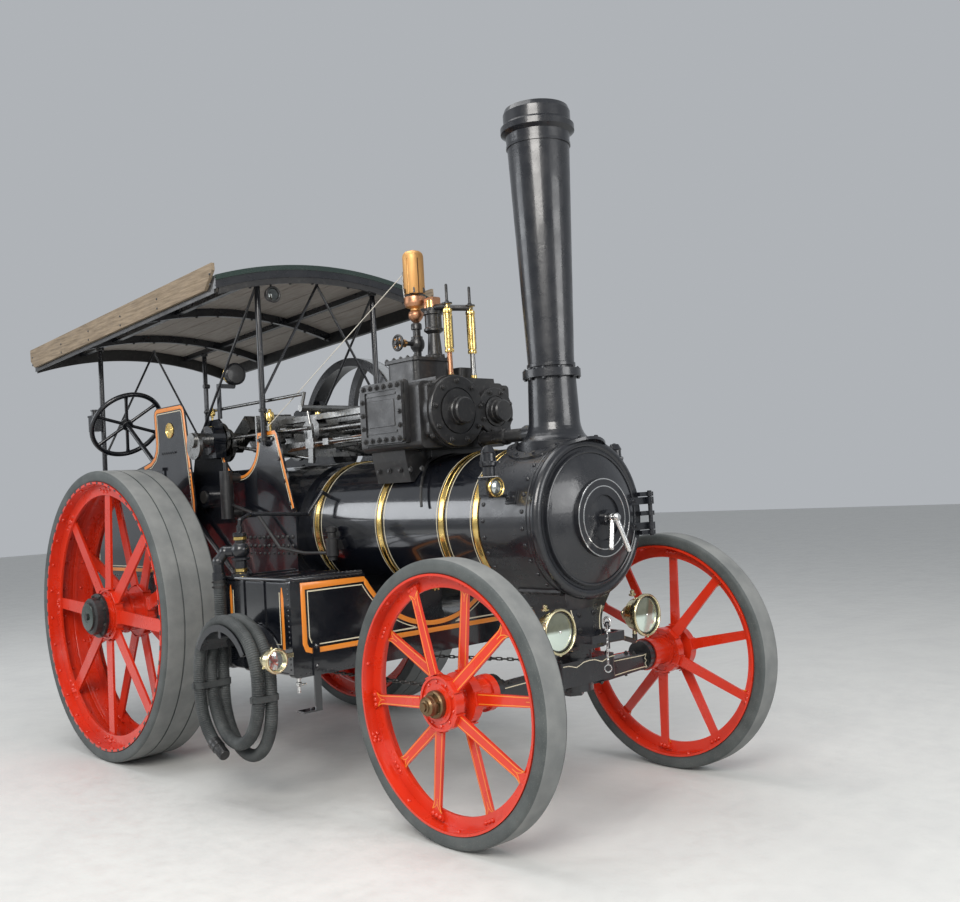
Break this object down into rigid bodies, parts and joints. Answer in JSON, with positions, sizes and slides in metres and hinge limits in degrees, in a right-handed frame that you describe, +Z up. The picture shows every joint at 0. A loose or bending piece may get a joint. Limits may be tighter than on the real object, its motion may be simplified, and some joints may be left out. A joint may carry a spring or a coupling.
{
  "type": "steam traction engine",
  "caption": "Full-size road steam traction engine: compound cylinders over a boiler, tall chimney, spoked red wheels with rubber tyres, canopy, belly tank and coiled suction hose.",
  "frame": {"origin": "centre of the bounding box in plan, on the ground under the wheels", "axes": "+X forward, +Y to the engine's left, +Z up"},
  "size_m": [5.791, 2.648, 3.78],
  "materials": {
    "gloss_black": "gloss",
    "satin_black": "satin",
    "iron_black": "satin",
    "wheel_red": "gloss",
    "tyre_rubber": "matt",
    "bright_steel": "machined",
    "bronze": "worn",
    "brass": "polished",
    "copper": "polished",
    "roof_cloth": "matt",
    "board_wood": "weathered",
    "hose_rubber": "matt"
  },
  "bodies": {
    "root": {"boiler_barrel": "gloss_black", "boiler_bands": "brass", "firebox": "gloss_black", "ashpan": "iron_black", "smokebox": "satin_black", "door_hinge": "satin_black", "chimney_base": "satin_black", "chimney": "satin_black", "cylinder_block": "iron_black", "cylinder_covers": "iron_black", "valve_chest": "iron_black", "brass_columns": "brass", "whistle": "copper", "crankshaft": "bright_steel", "connecting_rods": "bright_steel", "guide_bars": "bright_steel", "valve_gear": "bright_steel", "gearing": "iron_black", "hornplates": "gloss_black", "footplate": "iron_black", "tender": "gloss_black", "side_plates": "gloss_black", "backhead_fittings": "iron_black", "belly_tank": "gloss_black", "tank_brackets": "iron_black", "front_perch": "iron_black", "rear_axle": "iron_black", "steering_gear": "iron_black", "steering_chains": "iron_black", "headlamps": "brass", "smokebox_lamps": "satin_black", "tank_lamp": "brass", "rear_lamp": "satin_black", "canopy_roof": "roof_cloth", "canopy_fascia": "board_wood", "canopy_frame": "satin_black", "pipework": "iron_black", "water_lifter": "iron_black", "hose_hook": "iron_black", "hose_coil": "hose_rubber", "hose_drop": "hose_rubber", "drawbar": "iron_black"},
    "front_axle": {"front_axle": "iron_black"},
    "front_wheel_left": {"front_wheel_left": "wheel_red", "front_tyre_left": "tyre_rubber", "front_cap_left": "bronze"},
    "front_wheel_right": {"front_wheel_right": "wheel_red", "front_tyre_right": "tyre_rubber", "front_cap_right": "bronze"},
    "rear_wheel_left": {"rear_wheel_left": "wheel_red", "rear_tyre_left": "tyre_rubber", "rear_cap_left": "iron_black"},
    "rear_wheel_right": {"rear_wheel_right": "wheel_red", "rear_tyre_right": "tyre_rubber", "rear_cap_right": "iron_black"},
    "steering_wheel": {"steering_wheel": "iron_black", "steering_shaft": "iron_black"},
    "chain_roller": {"chain_roller": "iron_black"},
    "flywheel": {"flywheel": "iron_black"},
    "smokebox_door": {"smokebox_door": "satin_black"}
  },
  "joints": [
    {"name": "steering", "type": "hinge", "parent": "root", "child": "front_axle", "pos_m": [2.2045, 0, 0.7], "axis": [0, 0, 1], "range_deg": [-28, 28], "deforming": ["steering_chains"]},
    {"name": "front_wheel_left_spin", "type": "hinge", "parent": "front_axle", "child": "front_wheel_left", "pos_m": [2.2045, 0.8725, 0.691], "axis": [0, 1, 0], "continuous": true},
    {"name": "front_wheel_right_spin", "type": "hinge", "parent": "front_axle", "child": "front_wheel_right", "pos_m": [2.2045, -0.8725, 0.691], "axis": [0, 1, 0], "continuous": true},
    {"name": "rear_wheel_left_spin", "type": "hinge", "parent": "root", "child": "rear_wheel_left", "pos_m": [-1.0005, 1.046, 0.99], "axis": [0, 1, 0], "continuous": true},
    {"name": "rear_wheel_right_spin", "type": "hinge", "parent": "root", "child": "rear_wheel_right", "pos_m": [-1.0005, -1.046, 0.99], "axis": [0, 1, 0], "continuous": true},
    {"name": "flywheel_spin", "type": "hinge", "parent": "root", "child": "flywheel", "pos_m": [-0.6555, 0.77, 2.16], "axis": [0, 1, 0], "continuous": true},
    {"name": "smokebox_door_hinge", "type": "hinge", "parent": "root", "child": "smokebox_door", "pos_m": [2.4385, 0.47, 1.52], "axis": [0, 0, 1], "range_deg": [0, 90]},
    {"name": "chain_roller_turn", "type": "hinge", "parent": "root", "child": "chain_roller", "pos_m": [0.2295, 0, 0.66], "axis": [0, 1, 0], "range_deg": [-225, 225]},
    {"name": "steering_wheel_turn", "type": "hinge", "parent": "root", "child": "steering_wheel", "pos_m": [-1.9791, -0.52, 2.38274], "axis": [-0.8049, 0, 0.5934], "range_deg": [-675, 675]}
  ],
  "couplings": [
    {"joint": "chain_roller_turn", "follows": "steering", "ratio": 8},
    {"joint": "steering_wheel_turn", "follows": "steering", "ratio": 24}
  ]
}
